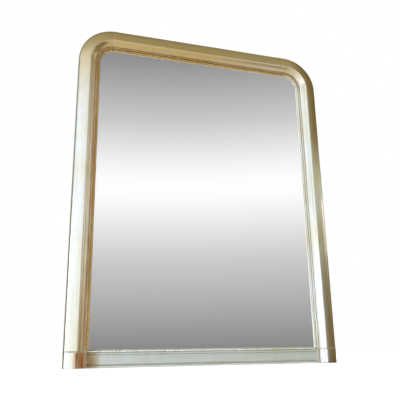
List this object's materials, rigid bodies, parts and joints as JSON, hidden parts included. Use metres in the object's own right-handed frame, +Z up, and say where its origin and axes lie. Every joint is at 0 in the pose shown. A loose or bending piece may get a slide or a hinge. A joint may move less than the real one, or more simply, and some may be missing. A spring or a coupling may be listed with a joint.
{
  "type": "overmantel mirror",
  "caption": "Tall overmantel mirror in a pale gilded ogee frame with rounded top corners, pearl beading, plinth blocks and hanging rings behind.",
  "frame": {"origin": "middle of the foot of the frame, on the plane of the mantel shelf, halfway through its depth", "axes": "+X to the viewer's right, +Y into the wall, +Z up"},
  "size_m": [1.1086, 0.0656, 1.4015],
  "materials": {
    "gilded_moulding": "pale champagne leaf under satin varnish, over bole and gesso",
    "gilded_beads": "warmer gilded pearl beading, dark in its hollows",
    "mirror_pane": "silvered plate glass",
    "silver_coat": "silver coat with a grey protective paint behind",
    "pine_carcase": "planed pine, aged, with an ochre wash at the edges",
    "pine_boards": "sawn pine boards, aged",
    "beech": "turned beech pegs and shims",
    "steel_screws": "slotted steel screws, dulled",
    "black_iron": "blackened iron with a little rust"
  },
  "bodies": {
    "frame": {"backboard_1": "pine_boards", "backboard_2": "pine_boards", "backboard_3": "pine_boards", "backboard_4": "pine_boards", "backboard_5": "pine_boards", "backboard_6": "pine_boards", "backboard_7": "pine_boards", "batten_nails": "black_iron", "board_nails": "black_iron", "bottom_back_rail": "pine_carcase", "bottom_bead_strip": "gilded_beads", "bottom_rail_moulding": "gilded_moulding", "bottom_rail_screws": "steel_screws", "bottom_wall_batten": "pine_carcase", "glass_blocks": "pine_carcase", "hanger_screws": "steel_screws", "lap_pegs": "beech", "left_back_stile": "pine_carcase", "left_bead_strip": "gilded_beads", "left_hanger_strap": "black_iron", "left_plinth_block": "gilded_moulding", "left_stile_moulding": "gilded_moulding", "left_wall_batten": "pine_carcase", "mirror_glass": "mirror_pane", "moulding_dowels": "beech", "moulding_screws": "steel_screws", "right_back_stile": "pine_carcase", "right_bead_strip": "gilded_beads", "right_hanger_strap": "black_iron", "right_plinth_block": "gilded_moulding", "right_stile_moulding": "gilded_moulding", "right_wall_batten": "pine_carcase", "setting_blocks": "beech", "silvering": "silver_coat", "top_back_rail": "pine_carcase", "top_bead_strip": "gilded_beads", "top_left_corner_beads": "gilded_beads", "top_left_corner_moulding": "gilded_moulding", "top_rail_moulding": "gilded_moulding", "top_right_corner_beads": "gilded_beads", "top_right_corner_moulding": "gilded_moulding", "top_wall_batten": "pine_carcase"},
    "left_ring": {"left_hanger_ring": "black_iron"},
    "right_ring": {"right_hanger_ring": "black_iron"}
  },
  "joints": [
    {"name": "left_ring_swing", "type": "hinge", "parent": "frame", "child": "left_ring", "pos_m": [-0.502, 0.02126, 1.0605], "axis": [1, 0, 0], "range_deg": [0, 166]},
    {"name": "right_ring_swing", "type": "hinge", "parent": "frame", "child": "right_ring", "pos_m": [0.502, 0.02126, 1.0605], "axis": [1, 0, 0], "range_deg": [0, 166]}
  ]
}
